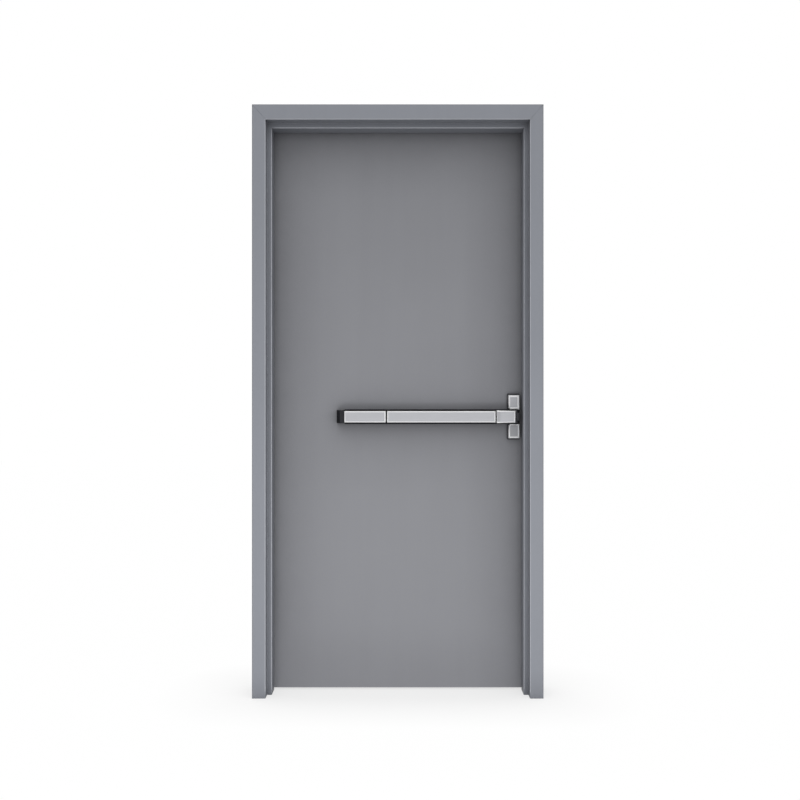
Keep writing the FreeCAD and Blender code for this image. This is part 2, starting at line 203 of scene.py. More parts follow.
def makeSprayedSkin():
    look = sprayedSkinSet
    group, given, put = newGroup("sprayedSkin", [
        ("Cloud Scale", "NodeSocketFloat", look["cloudScale"]),
        ("Peel Scale", "NodeSocketFloat", look["peelScale"]),
    ], ["Tone", "Peel"])
    place = objectPlace(group)
    clouds = addNoise(group, place, given["Cloud Scale"], detail=4.0, roughness=0.55)
    passes = addNoise(group, stretched(group, place, look["passStretch"]), 1.0, detail=3.0)
    specks = addNoise(group, place, look["speckScale"], roughness=0.6)
    tone = multiply(group, clouds, look["cloudShare"])
    tone = addMath(group, "ADD", tone, multiply(group, passes, look["passShare"]))
    tone = addMath(group, "ADD", tone, multiply(group, specks, look["speckShare"]))
    group.links.new(addRange(group, tone, *look["toneSpan"]), put["Tone"])
    peel = addNoise(group, place, given["Peel Scale"], detail=1.5, roughness=0.45)
    group.links.new(peel, put["Peel"])
    return group


# painted highlight: a light line along bevels and bends, broken up in places and kept out of inner corners
edgeHighlightSet = {
    "start": 0.02,          # how slanted a bevel or a bend is where its painted highlight starts, and where it is full
    "full": 0.10,
    "breaks": 0.35,
    "breakScale": 90.0,
    "clearReach": 0.03,
    "clearSpan": (0.82, 0.97),
    "awaySpan": (0.0, 0.05),
}


def makeEdgeHighlight():
    look = edgeHighlightSet
    group, given, put = newGroup("edgeHighlight", [
        ("Start", "NodeSocketFloat", look["start"]),
        ("Full", "NodeSocketFloat", look["full"]),
        ("Breaks", "NodeSocketFloat", look["breaks"]),
        ("Doorway Only", "NodeSocketFloat", 0.0),
        ("Clear Reach", "NodeSocketFloat", look["clearReach"]),
    ], ["Mask", "Outer Edge Shade"])
    place, normal = objectPlace(group), objectNormal(group)
    parts = splitAxes(group, addVector(group, "ABSOLUTE", normal))
    most = addMath(group, "MAXIMUM", addMath(group, "MAXIMUM", parts[0], parts[1]), parts[2])
    slant = oneLess(group, most)        # 0 on the flats, most on bevels and bends
    line = addRange(group, slant, given["Start"], given["Full"])
    breakNoise = addNoise(group, place, look["breakScale"], detail=4.0, roughness=0.6)
    kept = oneLess(group, multiply(group, breakNoise, given["Breaks"]))
    # painted highlight on the edges, kept to those that face the doorway when Doorway Only is set; a painted shade
    # line on the edges that face away, towards the wall
    doorway = addVector(group, "SUBTRACT", (doorMiddleX, 0.0, doorMiddleZ), place)
    level = addVector(group, "MULTIPLY", doorway, (1.0, 0.0, 1.0))
    towards = addVector(group, "DOT_PRODUCT", normal, level, "Value")
    away = addRange(group, towards, *look["awaySpan"], 1.0, 0.0)
    clear = clearOfCorners(group, given["Clear Reach"])
    line = multiply(group, line, addRange(group, clear, *look["clearSpan"]))    # not in the inner corners
    group.links.new(multiply(group, line, away), put["Outer Edge Shade"])
    left = oneLess(group, multiply(group, away, given["Doorway Only"]))
    group.links.new(multiply(group, line, left, kept), put["Mask"])
    return group


# painted shade: the colour darkens where other surfaces crowd round a point, within a broad reach and a tight one,
# varied in patches
cornerShadeSet = {
    "reach": 0.15,
    "strength": 0.5,
    "creaseReach": 0.02,
    "creaseShadeStrength": 0.3,
    "footShare": 1.0,
    "footHeight": 0.3,      # the painted shade is cut back by the foot share at the floor, and is full from this height up
    "patchScale": 14.0,
    "patchShares": (0.9, 1.1),
}


def makeCornerShade():
    look = cornerShadeSet
    group, given, put = newGroup("cornerShade", [
        ("Reach", "NodeSocketFloat", look["reach"]),
        ("Strength", "NodeSocketFloat", look["strength"]),
        ("Crease Reach", "NodeSocketFloat", look["creaseReach"]),
        ("Crease Shade Strength", "NodeSocketFloat", look["creaseShadeStrength"]),
        ("Foot Share", "NodeSocketFloat", look["footShare"]),
    ], ["Mask"])
    place = objectPlace(group)
    height = splitAxes(group, place)[2]
    footFade = addRange(group, height, 0.0, look["footHeight"], given["Foot Share"], 1.0)
    patch = addNoise(group, place, look["patchScale"], detail=4.0, roughness=0.6)
    patch = addRange(group, patch, *noiseSpan, *look["patchShares"])
    shares = []
    for reach, strength in (("Reach", "Strength"), ("Crease Reach", "Crease Shade Strength")):
        clear = clearOfCorners(group, given[reach])
        shares.append(multiply(group, oneLess(group, clear), given[strength]))
    mask = addMath(group, "MULTIPLY", addMath(group, "ADD", *shares), patch, True)
    group.links.new(multiply(group, mask, footFade), put["Mask"])
    return group


settledDustSet = {
    "amount": 0.35,
    "shelfSpan": (0.6, 0.97),       # how far a face looks up where dust starts to lie, and where it is full
    "driftScale": 35.0,
    "driftSpan": (0.35, 0.7),
    "driftShares": (0.25, 1.0),
}


def makeSettledDust():
    look = settledDustSet
    group, given, put = newGroup("settledDust", [
        ("Amount", "NodeSocketFloat", look["amount"]),
    ], ["Mask"])
    upward = splitAxes(group, objectNormal(group))[2]
    shelf = addRange(group, upward, *look["shelfSpan"])
    drift = addNoise(group, objectPlace(group), look["driftScale"], detail=5.0, roughness=0.65)
    drift = addRange(group, drift, *look["driftSpan"], *look["driftShares"])
    group.links.new(multiply(group, shelf, drift, given["Amount"]), put["Mask"])
    return group


brushedGrainSet = {
    "stretch": (9.0, 700.0, 700.0),
    "markScale": 22.0,      # faint handling marks across the brushing
    "grainShare": 0.7,
    "markShare": 0.3,
}


def makeBrushedGrain():
    look = brushedGrainSet
    group, given, put = newGroup("brushedGrain", [
        ("Stretch", "NodeSocketVector", look["stretch"]),
    ], ["Streak", "Height"])
    place = objectPlace(group)
    fine = addNoise(group, stretched(group, place, given["Stretch"]), 1.0, detail=5.0, roughness=0.6)
    marks = addNoise(group, place, look["markScale"], detail=3.0)
    both = addMath(group, "ADD", multiply(group, fine, look["grainShare"]),
                   multiply(group, marks, look["markShare"]))
    group.links.new(addRange(group, both, *noiseSpan), put["Streak"])
    group.links.new(fine, put["Height"])
    return group


sprayedSkin = makeSprayedSkin()
edgeHighlight = makeEdgeHighlight()
cornerShade = makeCornerShade()
settledDust = makeSettledDust()
brushedGrain = makeBrushedGrain()
print("shared effects made")


def asColour(red, green, blue):
    return (red, green, blue, 1.0)


def newFinish(name):
    material = bpy.data.materials.new(name)
    material.use_nodes = True
    tree = material.node_tree
    return material, tree, tree.nodes["Principled BSDF"]


def linkShader(tree, shader, links):
    for label, socket in links.items():
        tree.links.new(socket, shader.inputs[label])


# bump is its strength and its depth
def addBump(tree, shader, height, bump):
    sockets = {"Height": height, "Strength": bump[0], "Distance": bump[1]}
    linkShader(tree, shader, {"Normal": addNode(tree, "ShaderNodeBump", sockets).outputs[0]})


dustColour = asColour(0.46, 0.45, 0.43)


def dustMask(tree, amount):
    return placeGroup(tree, settledDust, {"Amount": amount})["Mask"]


# satin grey paint on folded steel; the frame is a shade cooler than the leaf. Its colour carries painted shade in
# corners, on the sides of the doorway and along the edges that meet the wall, and painted highlights on the bends
paintSet = {
    "faceSpan": (0.35, 0.75),       # between the sides of the doorway and the faces
    "dust": 0.35,
    "dustDull": 0.5,
    "gloss": 0.35,
    "bump": (0.10, 0.0006),
}
framePaintSet = {
    "dark": asColour(0.284, 0.297, 0.333),
    "light": asColour(0.313, 0.328, 0.368),
    # the painted highlight colour on the bends and how much of it
    "edge": asColour(0.74, 0.757, 0.80),
    "highlightAmount": 0.9,
    "doorwayOnly": 1.0,
    "outerEdgeShade": 0.5,        # painted shade along the edges that meet the wall
    # the colour of the painted shade, then how far and how strongly the corner shade reaches
    "paintedShade": asColour(0.035, 0.036, 0.042),
    "shadeReach": 0.10,
    "shadeStrength": 0.45,
    "creaseShadeStrength": 0.22,
    "footShare": 1.0,
    "revealShadeShare": 0.25,    # painted shade: darker on the sides of the doorway than on the faces
    "roughness": (0.46, 0.60),
    "cloudScale": 2.6,
}
leafPaintSet = {
    "dark": asColour(0.271, 0.275, 0.297),
    "light": asColour(0.299, 0.303, 0.327),
    # the painted highlight colour on the bends and how much of it
    "edge": asColour(0.38, 0.385, 0.41),
    "highlightAmount": 0.6,
    "doorwayOnly": 0.0,
    "outerEdgeShade": 0.0,
    # the colour of the painted shade, then how far and how strongly the corner shade reaches
    "paintedShade": asColour(0.035, 0.036, 0.040),
    "shadeReach": 0.24,
    "shadeStrength": 0.62,
    "creaseShadeStrength": 0.12,
    "footShare": 0.1,
    "revealShadeShare": 0.1,
    "roughness": (0.44, 0.58),
    "cloudScale": 1.9,
}


def greyPaint(name, ownSet):
    look = {**paintSet, **ownSet}
    material, tree, shader = newFinish(name)
    skin = placeGroup(tree, sprayedSkin, {"Cloud Scale": look["cloudScale"]})
    colour = mixColour(tree, skin["Tone"], look["dark"], look["light"])
    # painted shade in corners and recesses
    paintedShade = placeGroup(tree, cornerShade, {
        "Reach": look["shadeReach"],
        "Strength": look["shadeStrength"],
        "Crease Shade Strength": look["creaseShadeStrength"],
        "Foot Share": look["footShare"],
    })["Mask"]
    colour = mixColour(tree, paintedShade, colour, look["paintedShade"])
    # painted shade on the sides of the doorway
    faced = addMath(tree, "ABSOLUTE", splitAxes(tree, objectNormal(tree))[1])
    revealShade = addRange(tree, faced, *look["faceSpan"], look["revealShadeShare"], 0.0)
    colour = mixColour(tree, revealShade, colour, look["paintedShade"])
    # painted highlight on the bends, then a painted shade line along the edges that meet the wall
    line = placeGroup(tree, edgeHighlight, {"Doorway Only": look["doorwayOnly"]})
    colour = mixColour(tree, multiply(tree, line["Mask"], look["highlightAmount"]), colour, look["edge"])
    colour = mixColour(tree, multiply(tree, line["Outer Edge Shade"], look["outerEdgeShade"]), colour, look["paintedShade"])
    dust = dustMask(tree, look["dust"])
    satin = addRange(tree, skin["Tone"], 0.0, 1.0, *look["roughness"])
    linkShader(tree, shader, {
        "Base Color": mixColour(tree, dust, colour, dustColour),
        "Roughness": addMath(tree, "ADD", satin, multiply(tree, dust, look["dustDull"]), True),
    })
    shader.inputs["Specular IOR Level"].default_value = look["gloss"]
    addBump(tree, shader, skin["Peel"], look["bump"])
    return material


# satin silver covers, brushed along the bar; painted highlights on their bevels and rims, painted shade in
# corners, on the covers over and under the bar and on the head's slope
silverSet = {
    "dark": asColour(0.445, 0.450, 0.474),
    "light": asColour(0.514, 0.519, 0.545),
    # the painted highlight colour on bevels and rims, and how much of it
    "edge": asColour(0.96, 0.962, 0.97),
    "highlightAmount": 1.0,
    "edgeHighlight": {"Start": 0.005, "Full": 0.03, "Breaks": 0.12, "Clear Reach": 0.001},
    # the colour of the painted shade, then the corner-shade sockets
    "paintedShade": asColour(0.06, 0.06, 0.065),
    "cornerShadeSockets": {"Reach": 0.06, "Strength": 0.35, "Crease Reach": 0.006},
    "coverFrom": 0.024,             # from the middle of the bar to the covers over and under it
    "coverBlend": 0.003,
    "overShare": 0.04,              # painted shade: they are darker than the bar, the lower one most
    "underShare": 0.33,
    "satinWay": (-0.316, -0.949, 0.0),      # the sloped end of the head faces this way and isn't a bevel
    "satinSpan": (0.955, 0.98),
    "slopeLength": 0.014,
    "slopeBlend": (0.001, 0.002),   # before the slope and after it
    "slopeShadeShare": 0.16,             # painted shade: how much darker that slope is
    # how far the painted highlight rims reach in, and whether the top has one
    "rimHighlights": {
        "upper_case_cover": (0.0066, True),
        "lower_case_cover": (0.0050, False),
        "head_cover": (0.0045, True),
    },
    "rimBlend": 0.001,
    "rimSpan": (-0.6, -0.4),        # only on faces that look forward
    "metallic": (0.40, 0.0),        # on the flats, and on the bevels and rims with painted highlight
    "roughness": (0.40, 0.54),
    "dust": 0.2,
    "bump": (0.06, 0.0003),
}


def rimHighlightBand(tree, across, height, node, reach, onTop):
    blend = silverSet["rimBlend"]
    low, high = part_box(node)
    fromTop = addMath(tree, "SUBTRACT", high.z, height)
    inset = addMath(tree, "MINIMUM", addMath(tree, "SUBTRACT", height, low.z),
                    addMath(tree, "SUBTRACT", high.x, across))
    inside = addMath(tree, "MINIMUM", inset, fromTop)
    return multiply(tree, addRange(tree, inside, -blend, 0.0),
                    addRange(tree, inside if onTop else inset, reach, reach + blend, 1.0, 0.0))


def headSlope(tree, across, normal):
    look = silverSet
    before, after = look["slopeBlend"]
    end = headLeft + look["slopeLength"]
    slope = addVector(tree, "DOT_PRODUCT", normal, look["satinWay"], "Value")
    return multiply(tree, addRange(tree, across, headLeft - before, headLeft),
                    addRange(tree, across, end, end + after, 1.0, 0.0),
                    addRange(tree, slope, *look["satinSpan"]))


def silverFinish(name):
    look = silverSet
    material, tree, shader = newFinish(name)
    grain = placeGroup(tree, brushedGrain)
    colour = mixColour(tree, grain["Streak"], look["dark"], look["light"])
    # painted shade in corners
    paintedShade = placeGroup(tree, cornerShade, look["cornerShadeSockets"])["Mask"]
    colour = mixColour(tree, paintedShade, colour, look["paintedShade"])
    normal = objectNormal(tree)
    across, _, height = splitAxes(tree, objectPlace(tree))
    # painted shade on the covers over and under the bar
    over, under = barMiddleZ + look["coverFrom"], barMiddleZ - look["coverFrom"]
    coverShade = addMath(tree, "ADD",
                   addRange(tree, height, over, over + look["coverBlend"], 0.0, look["overShare"]),
                   addRange(tree, height, under - look["coverBlend"], under, look["underShare"], 0.0))
    colour = mixColour(tree, coverShade, colour, look["paintedShade"])
    # painted shade on the sloped end of the head, which also takes no painted highlight
    onSlope = headSlope(tree, across, normal)
    colour = mixColour(tree, multiply(tree, onSlope, look["slopeShadeShare"]), colour, look["paintedShade"])
    # painted highlight on the bevels, and on rims along the covers' forward faces
    line = placeGroup(tree, edgeHighlight, look["edgeHighlight"])["Mask"]
    edge = multiply(tree, line, addMath(tree, "SUBTRACT", look["highlightAmount"], onSlope))
    forward = addRange(tree, splitAxes(tree, normal)[1], *look["rimSpan"], look["highlightAmount"], 0.0)
    for node, (reach, onTop) in look["rimHighlights"].items():
        rim = multiply(tree, rimHighlightBand(tree, across, height, node, reach, onTop), forward)
        edge = addMath(tree, "MAXIMUM", edge, rim)
    colour = mixColour(tree, edge, colour, look["edge"])
    linkShader(tree, shader, {
        "Base Color": mixColour(tree, dustMask(tree, look["dust"]), colour, dustColour),
        "Roughness": addRange(tree, grain["Streak"], 0.0, 1.0, *look["roughness"]),
        "Metallic": addRange(tree, edge, 0.0, 1.0, *look["metallic"]),
    })
    addBump(tree, shader, grain["Height"], look["bump"])
    return material


# black coats: fine powder coat on the rail, plate and case, moulded grain on the end cap, dark latch steel; each
# with a painted highlight on its edges
blackSet = {
    "cloudScale": 30.0,
    "breaks": 0.3,
    "dust": 0.16,
    "metallic": 0.0,
}
blackCoatSet = {
    "dark": asColour(0.044, 0.044, 0.050),
    "light": asColour(0.064, 0.065, 0.073),
    # painted highlight colour on the edges
    "edge": asColour(0.105, 0.107, 0.115),
    "highlightAmount": 0.5,
    "edgeFrom": (0.12, 0.26),
    "roughness": (0.42, 0.60),
    "gloss": 0.20,
    "grainScale": 900.0,
    "bump": (0.16, 0.0004),
}
blackMouldSet = {
    "dark": asColour(0.005, 0.005, 0.007),
    "light": asColour(0.009, 0.009, 0.012),
    "edge": asColour(0.050, 0.051, 0.057),      # painted highlight, paler on the slope and the rounded edges
    "highlightAmount": 0.95,
    "edgeFrom": (0.05, 0.14),
    "roughness": (0.45, 0.62),
    "gloss": 0.07,
    "grainScale": 620.0,
    "bump": (0.22, 0.0004),
}
blackSteelSet = {
    "dark": asColour(0.120, 0.120, 0.130),
    "light": asColour(0.180, 0.180, 0.193),
    # painted highlight colour on the edges
    "edge": asColour(0.22, 0.22, 0.225),
    "highlightAmount": 0.6,
    "edgeFrom": (0.12, 0.26),
    "roughness": (0.30, 0.50),
    "gloss": 0.25,
    "metallic": 0.25,
    "grainScale": 380.0,
    "bump": (0.05, 0.0004),
}


def blackFinish(name, ownSet):
    look = {**blackSet, **ownSet}
    material, tree, shader = newFinish(name)
    skin = placeGroup(tree, sprayedSkin, {
        "Cloud Scale": look["cloudScale"],
        "Peel Scale": look["grainScale"],
    })
    colour = mixColour(tree, skin["Tone"], look["dark"], look["light"])
    # painted highlight on the bevels and rounded edges
    start, full = look["edgeFrom"]
    line = placeGroup(tree, edgeHighlight, {"Start": start, "Full": full, "Breaks": look["breaks"]})["Mask"]
    colour = mixColour(tree, multiply(tree, line, look["highlightAmount"]), colour, look["edge"])
    linkShader(tree, shader, {
        "Base Color": mixColour(tree, dustMask(tree, look["dust"]), colour, dustColour),
        "Roughness": addRange(tree, skin["Peel"], *noiseSpan, *look["roughness"]),
    })
    shader.inputs["Metallic"].default_value = look["metallic"]
    shader.inputs["Specular IOR Level"].default_value = look["gloss"]
    addBump(tree, shader, skin["Peel"], look["bump"])
    return material


# bare galvanised sheet with its spangle
galvanisedSet = {
    "dark": asColour(0.25, 0.257, 0.27),
    "light": asColour(0.40, 0.407, 0.42),
    "spangle": 130.0,       # crystals to the metre
    "bendScale": 60.0,      # uneven crystals
    "spangleShare": 0.6,
    "cloudShare": 0.4,
    "cloudScale": 18.0,
    "roughness": (0.38, 0.58),
    "metallic": 0.6,
    "dust": 0.3,
    "bump": (0.05, 0.0004),
}


def galvanisedFinish(name):
    look = galvanisedSet
    material, tree, shader = newFinish(name)
    place = objectPlace(tree)
    bent = addVector(tree, "ADD", place, addNoise(tree, place, look["bendScale"]))
    crystal = addNode(tree, "ShaderNodeTexVoronoi", {"Vector": bent, "Scale": look["spangle"]}).outputs
    shade = splitAxes(tree, crystal["Color"])[0]
    skin = placeGroup(tree, sprayedSkin, {"Cloud Scale": look["cloudScale"]})
    tone = addMath(tree, "ADD", multiply(tree, shade, look["spangleShare"]),
                   multiply(tree, skin["Tone"], look["cloudShare"]))
    colour = mixColour(tree, tone, look["dark"], look["light"])
    linkShader(tree, shader, {
        "Base Color": mixColour(tree, dustMask(tree, look["dust"]), colour, dustColour),
        "Roughness": addRange(tree, shade, 0.0, 1.0, *look["roughness"]),
    })
    shader.inputs["Metallic"].default_value = look["metallic"]
    addBump(tree, shader, crystal["Distance"], look["bump"])
    return material


# satin steel of hinges and guides
satinSteelSet = {
    "dark": asColour(0.40, 0.40, 0.405),
    "light": asColour(0.56, 0.56, 0.565),
    # the colour of the painted shade, then the corner-shade sockets
    "paintedShade": asColour(0.07, 0.065, 0.06),
    "cornerShadeSockets": {"Reach": 0.012, "Strength": 0.6, "Crease Reach": 0.003},
    "upright": (500.0, 500.0, 10.0),        # brushed up the height
    "turned": (60.0, 1400.0, 60.0),         # round the guide's own axis
    "roughness": (0.26, 0.42),
    "metallic": 0.9,
    "bump": (0.05, 0.0002),
}


def steelFinish(name, brushing):
    look = satinSteelSet
    material, tree, shader = newFinish(name)
    grain = placeGroup(tree, brushedGrain, {"Stretch": look[brushing]})
    colour = mixColour(tree, grain["Streak"], look["dark"], look["light"])
    # painted shade in the corners and creases
    paintedShade = placeGroup(tree, cornerShade, look["cornerShadeSockets"])["Mask"]
    linkShader(tree, shader, {
        "Base Color": mixColour(tree, paintedShade, colour, look["paintedShade"]),
        "Roughness": addRange(tree, grain["Streak"], 0.0, 1.0, *look["roughness"]),
    })
    shader.inputs["Metallic"].default_value = look["metallic"]
    addBump(tree, shader, grain["Height"], look["bump"])
    return material


rubberSet = {
    "dark": asColour(0.095, 0.095, 0.098),
    "light": asColour(0.150, 0.150, 0.153),
    "cloudScale": 160.0,
    "peelScale": 1500.0,
    "roughness": (0.68, 0.85),
    "bump": (0.2, 0.0004),
}


def rubberFinish(name):
    look = rubberSet
    material, tree, shader = newFinish(name)
    skin = placeGroup(tree, sprayedSkin, {
        "Cloud Scale": look["cloudScale"],
        "Peel Scale": look["peelScale"],
    })
    linkShader(tree, shader, {
        "Base Color": mixColour(tree, skin["Tone"], look["dark"], look["light"]),
        "Roughness": addRange(tree, skin["Tone"], 0.0, 1.0, *look["roughness"]),
    })
    addBump(tree, shader, skin["Peel"], look["bump"])
    return material


slotFinishes = {
    "frame_paint": greyPaint("framePaint", framePaintSet),
    "leaf_paint": greyPaint("leafPaint", leafPaintSet),
    "galvanised": galvanisedFinish("galvanisedSheet"),
    "hinge_steel": steelFinish("hingeSteel", "upright"),
    "silver_cover": silverFinish("silverCover"),
    "black_housing": blackFinish("blackCoat", blackCoatSet),
    "black_plastic": blackFinish("blackMoulding", blackMouldSet),
    "guide_steel": steelFinish("turnedSteel", "turned"),
    "latch_steel": blackFinish("blackSteel", blackSteelSet),
    "silencer_rubber": rubberFinish("greyRubber"),
}
for part in frame["record"]["subparts"]:
    node = frame["nodes"][part["node"]]
    node.data.materials.clear()
    node.data.materials.append(slotFinishes[part["material_slot"]])
print("finishes made:", len(slotFinishes))


# edges broken as a press or a mould leaves them: width, number of steps, and how deep from the front
softEdges = {
    "touch_bar": (0.0020, 3, 0.010),
    "rail_cover": (0.0020, 3, 0.010),
    "head_cover": (0.0020, 3, 0.010),
    "upper_case_cover": (0.0020, 3, 0.010),
    "lower_case_cover": (0.0020, 3, 0.010),
    "rail_end_cap": (0.0012, 3, 0.100),
    "latch_case": (0.0008, 2, 0.100),
    "latch_bolt": (0.0008, 2, 0.100),
    "latch_backplate": (0.0006, 2, 0.100),
}
edgeLimits = {
    "sharpAngle": 30.0,     # degrees
    "flatAngle": 0.5,
    "weld": 0.00001,
}


# marks the outer edges that turn by more than the sharp angle and lie in front of the limit, for the bevel
def makeFrontEdges():
    group = bpy.data.node_groups.new("frontEdges", "GeometryNodeTree")
    group.interface.new_socket("Geometry", in_out="INPUT", socket_type="NodeSocketGeometry")
    group.interface.new_socket("Front Limit", in_out="INPUT", socket_type="NodeSocketFloat")
    group.interface.new_socket("Geometry", in_out="OUTPUT", socket_type="NodeSocketGeometry")
    given = addNode(group, "NodeGroupInput").outputs
    depth = splitAxes(group, addNode(group, "GeometryNodeInputPosition").outputs[0])[1]
    turn = addNode(group, "GeometryNodeInputMeshEdgeAngle").outputs["Signed Angle"]
    marked = multiply(group, addMath(group, "LESS_THAN", depth, given["Front Limit"]),
                      addMath(group, "GREATER_THAN", turn, math.radians(edgeLimits["sharpAngle"])))
    sockets = {"Geometry": given["Geometry"], "Name": "bevel_weight_edge", "Value": marked}
    kept = addNode(group, "GeometryNodeStoreNamedAttribute", sockets, data_type="FLOAT", domain="EDGE")
    group.links.new(kept.outputs[0], addNode(group, "NodeGroupOutput").inputs[0])
    return group


frontEdges = makeFrontEdges()


def softenEdges(node, width, steps, depth):
    piece = frame["nodes"][node]
    weld = piece.modifiers.new("joinFaces", "WELD")
    weld.merge_threshold = edgeLimits["weld"]
    flat = piece.modifiers.new("plainFaces", "DECIMATE")
    flat.decimate_type = "DISSOLVE"
    flat.angle_limit = math.radians(edgeLimits["flatAngle"])
    marks = piece.modifiers.new("frontEdges", "NODES")
    marks.node_group = frontEdges
    marks[frontEdges.interface.items_tree["Front Limit"].identifier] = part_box(node)[0].y + depth
    rounding = piece.modifiers.new("softEdges", "BEVEL")
    rounding.width = width
    rounding.segments = steps
    rounding.limit_method = "WEIGHT"
    rounding.harden_normals = False
    smooth = piece.modifiers.new("evenShading", "WEIGHTED_NORMAL")
    smooth.keep_sharp = False


for node, (width, steps, depth) in softEdges.items():
    softenEdges(node, width, steps, depth)
print("edges softened:", len(softEdges))


def addPiece(name, mesh, body, slot):
    piece = bpy.data.objects.new(name, mesh)
    scene.collection.objects.link(piece)
    piece.data.materials.append(slotFinishes[slot])
    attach(piece, body)


# screw heads with a cross recess; one mesh holds all of a body's screws
screwSet = {
    "sides": 32,
    "armHalf": 0.13,        # shares of the head's radius
    "armReach": 0.56,
    "recess": 0.34,
    "recessTaper": 0.62,
    "rim": 0.07,
    "dome": 0.05,
}


def ringPoints(radius, height, sides):
    angles = [2 * math.pi * i / sides for i in range(sides)]
    return [(radius * math.cos(angle), radius * math.sin(angle), height) for angle in angles]


def crossPoints(half, reach, height):
    quarter = [(half, half), (half, reach), (-half, reach)]
    points = []
    for turn in range(4):
        spin = Matrix.Rotation(turn * math.pi / 2, 2)
        points += [(*(spin @ Vector(point)), height) for point in quarter]
    return points


def addLoop(bm, points, place):
    verts = [bm.verts.new(place @ Vector(point)) for point in points]
    edges = [bm.edges.new((verts[i], verts[(i + 1) % len(verts)])) for i in range(len(verts))]
    return verts, edges


def addWall(bm, upper, lower):
    for i in range(len(upper)):
        j = (i + 1) % len(upper)
        bm.faces.new((upper[i], lower[i], lower[j], upper[j]))


# place turns +Z of the screw to the way it faces; depth is how far its skirt reaches down
def addScrew(bm, place, radius, depth, skirtRadius):
    look = screwSet
    sides, taper = look["sides"], look["recessTaper"]
    armHalf, armReach = look["armHalf"] * radius, look["armReach"] * radius
    top = look["dome"] * radius
    bottom = top - look["recess"] * radius
    inner, innerEdges = addLoop(bm, ringPoints(radius * (1 - look["rim"]), top, sides), place)
    outer = addLoop(bm, ringPoints(radius, 0.0, sides), place)[0]
    skirt = addLoop(bm, ringPoints(skirtRadius, -depth, sides), place)[0]
    cross, crossEdges = addLoop(bm, crossPoints(armHalf, armReach, top), place)
    pit = addLoop(bm, crossPoints(armHalf * taper, armReach * taper, bottom), place)[0]
    bmesh.ops.triangle_fill(bm, use_beauty=True, edges=innerEdges + crossEdges)
    addWall(bm, inner, outer)
    addWall(bm, outer, skirt)
    addWall(bm, cross, pit)
    bm.faces.new(pit)
    bm.faces.new(skirt)


def finishMesh(bm, name):
    bmesh.ops.recalc_face_normals(bm, faces=bm.faces)
    mesh = bpy.data.meshes.new(name)
    bm.to_mesh(mesh)
    bm.free()
    return mesh


def facing(spot, direction, spin):
    turn = Vector(direction).to_track_quat("Z", "Y").to_matrix().to_4x4()
    return Matrix.Translation(spot) @ turn @ Matrix.Rotation(spin, 4, "Z")


# hinge screws sit in the countersunk holes of both leaves of each hinge
hingeScrewSet = {
    "count": 4,
    "radius": 0.0049,
    "skirt": 0.0027,
    "depth": 0.0031,
    "fromEnd": 0.014,
    "fromEdge": 0.010,
    "sunk": 0.00025,
    "spinFirst": 0.3,       # how far the first cross is turned, and each one more than the last
    "spinStep": 0.7,
}


def makeHingeScrews():
    look = hingeScrewSet
    pinX = frame["joints"][0]["pos_m"][0]
    leafX = leafLow.x
    rabbetX = 2 * pinX - leafX
    sides = {
        "door_frame": ("frameHingeScrews", "frame_leaf", rabbetX, 1),
        "door_leaf": ("leafHingeScrews", "door_leaf", leafX, -1),
    }
    for body, (name, leaf, faceX, outward) in sides.items():
        bm = bmesh.new()
        for hinge in ("lower", "middle", "upper"):
            low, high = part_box(f"{hinge}_hinge_{leaf}")
            first = low.z + look["fromEnd"]
            pitch = (high.z - low.z - 2 * look["fromEnd"]) / (look["count"] - 1)
            rows = (pullFaceY - look["fromEdge"], low.y + look["fromEdge"])
            for number in range(look["count"]):
                spot = (faceX - outward * look["sunk"], rows[number % 2], first + number * pitch)
                place = facing(spot, (outward, 0, 0), look["spinStep"] * number + look["spinFirst"])
                addScrew(bm, place, look["radius"], look["depth"], look["skirt"])
        addPiece(name, finishMesh(bm, name), body, "hinge_steel")


makeHingeScrews()
print("hinge screws made")


# small screws that hold the end cap, on its top and underside where a hand can reach them
coverScrewSet = {
    "radius": 0.0034,
    "proud": 0.0012,
    "depth": 0.0022,
    "capFromCover": 0.009,
    "fromLeaf": 0.018,
    "spin": 0.5,
}


def makeCoverScrews():
    look = coverScrewSet
    bm = bmesh.new()
    capLow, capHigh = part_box("rail_end_cap")
    screwX, screwY = capHigh.x - look["capFromCover"], leafLow.y - look["fromLeaf"]
    for height, way in ((capHigh.z, 1), (capLow.z, -1)):
        place = facing((screwX, screwY, height + way * look["proud"]), (0, 0, way), look["spin"])
        addScrew(bm, place, look["radius"], look["depth"], look["radius"])
    addPiece("coverScrews", finishMesh(bm, "coverScrews"), "door_leaf", "hinge_steel")


makeCoverScrews()
print("cover screws made")


# gussets screwed on behind the mitres of the frame, inside both faces
gussetSet = {
    "headFace": 0.0535,     # height of the head's face
    "half": 0.012,          # to each side of the mitre, along the frame
    "fromEdge": 0.0048,
    "behindFace": 0.0017,   # the face sheet and a little air
    "sheet": 0.0016,
    "screwRadius": 0.0030,
    "screwDepth": 0.0016,
    "screwProud": 0.0008,
    "screwShares": (0.22, 0.78),    # of the way along the mitre
    "spinRate": 4.0,
}


def addPlate(bm, outline, faceY, backY):
    near = [bm.verts.new((x, faceY, z)) for x, z in outline]
    far = [bm.verts.new((x, backY, z)) for x, z in outline]
    bm.faces.new(near)
    bm.faces.new(far)
    addWall(bm, near, far)


